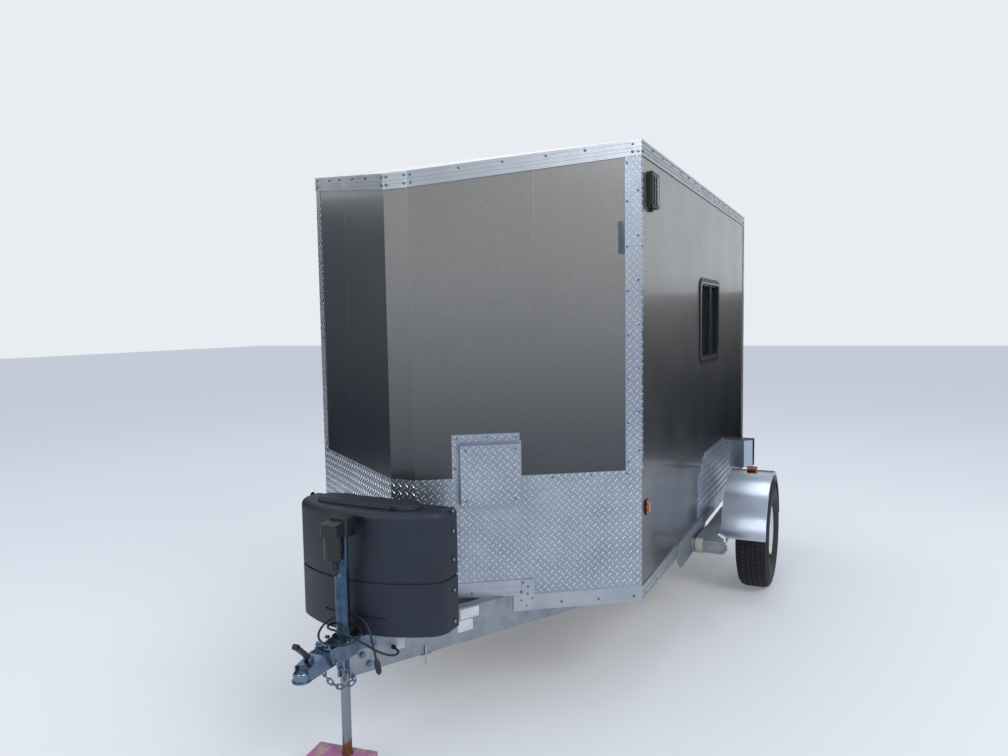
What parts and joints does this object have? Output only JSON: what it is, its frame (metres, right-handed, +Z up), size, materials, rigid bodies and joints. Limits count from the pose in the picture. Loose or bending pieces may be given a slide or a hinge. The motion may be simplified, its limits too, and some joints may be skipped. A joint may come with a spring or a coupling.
{
  "type": "wheeled ice fishing hut",
  "caption": "V-nosed aluminium ice fishing cabin on a tongued frame, with trailing wheel arms, side windows, a door, a tank cover and a tongue jack.",
  "frame": {"origin": "centre of the hut's box, on the ground", "axes": "+Y from the tongue to the rear wall, +X the road side, +Z up"},
  "size_m": [2.595, 4.383, 2.605],
  "materials": {
    "mill_aluminium": "mill",
    "smooth_aluminium": "smooth",
    "trim_aluminium": "extruded",
    "tread_plate": "bright tread plate",
    "grey_skin": "gloss metallic",
    "roof_skin": "satin",
    "floor_panel": "plywood",
    "black_frame": "satin",
    "tinted_glass": "tinted",
    "black_plastic": "moulded",
    "black_steel": "satin",
    "cover_plastic": "grained",
    "amber_lens": "lens",
    "red_lens": "lens",
    "white_steel": "gloss",
    "cable_rubber": "sheathed cable",
    "zinc_steel": "zinc plated",
    "alloy_rim": "polished",
    "tyre_rubber": "rubber",
    "block_wood": "faded paint"
  },
  "bodies": {
    "hut": {"tongue_rail_road": "mill_aluminium", "tongue_rail_curb": "mill_aluminium", "side_sills": "mill_aluminium", "end_sills": "mill_aluminium", "v_sills": "mill_aluminium", "crossmembers": "mill_aluminium", "floor": "floor_panel", "nose_wall": "grey_skin", "v_walls": "grey_skin", "side_wall_road": "grey_skin", "side_wall_curb": "grey_skin", "rear_wall": "grey_skin", "roof": "roof_skin", "nose_roof": "roof_skin", "stone_guard": "tread_plate", "corner_guards": "tread_plate", "top_trim": "trim_aluminium", "bottom_trim": "trim_aluminium", "raised_trim": "trim_aluminium", "trim_splices": "trim_aluminium", "rear_corner_trims": "trim_aluminium", "window_frames": "black_frame", "window_panes": "tinted_glass", "entry_door": "grey_skin", "door_frame": "trim_aluminium", "wheel_guards": "mill_aluminium", "pivot_mounts": "mill_aluminium", "tail_housings": "smooth_aluminium", "tail_lamps": "red_lens", "hatch_box": "tread_plate", "side_lamps": "black_plastic", "side_markers": "amber_lens", "coupler": "zinc_steel", "jack_tube": "zinc_steel", "jack_head": "black_plastic", "jack_motor": "black_plastic", "tank_cover": "cover_plastic", "tank_tray": "mill_aluminium", "gas_tanks": "white_steel", "lead_gland": "black_plastic", "trailer_lead": "cable_rubber", "lead_plug": "black_plastic"},
    "arm_road": {"swing_arm_road": "mill_aluminium", "fender_road": "smooth_aluminium", "fender_light_road": "amber_lens"},
    "arm_curb": {"swing_arm_curb": "mill_aluminium", "fender_curb": "smooth_aluminium", "fender_light_curb": "amber_lens"},
    "wheel_road": {"tyre_road": "tyre_rubber", "rim_road": "alloy_rim"},
    "wheel_curb": {"tyre_curb": "tyre_rubber", "rim_curb": "alloy_rim"},
    "jack_foot": {"jack_post": "zinc_steel", "jack_block": "block_wood"},
    "latch": {"coupler_latch": "black_steel"},
    "lid": {"tank_lid": "cover_plastic"}
  },
  "joints": [
    {"name": "arm_road_swing", "type": "hinge", "parent": "hut", "child": "arm_road", "pos_m": [0.945, 0.2115, 0.46], "axis": [1, 0, 0], "range_deg": [0, 30]},
    {"name": "wheel_road_spin", "type": "hinge", "parent": "arm_road", "child": "wheel_road", "pos_m": [1.195, 1.0115, 0.36], "axis": [1, 0, 0], "continuous": true},
    {"name": "arm_curb_swing", "type": "hinge", "parent": "hut", "child": "arm_curb", "pos_m": [-0.945, 0.2115, 0.46], "axis": [1, 0, 0], "range_deg": [0, 30]},
    {"name": "wheel_curb_spin", "type": "hinge", "parent": "arm_curb", "child": "wheel_curb", "pos_m": [-1.195, 1.0115, 0.36], "axis": [1, 0, 0], "continuous": true},
    {"name": "jack_slide", "type": "slide", "parent": "hut", "child": "jack_foot", "axis": [0, 0, 1], "range_m": [-0.03, 0.28]},
    {"name": "latch_lift", "type": "hinge", "parent": "hut", "child": "latch", "pos_m": [0, -2.1147, 0.572], "axis": [1, 0, 0], "range_deg": [-115, 0]},
    {"name": "lid_lift", "type": "hinge", "parent": "hut", "child": "lid", "pos_m": [0, -1.6495, 1.07], "axis": [-1, 0, 0], "range_deg": [0, 95]}
  ]
}
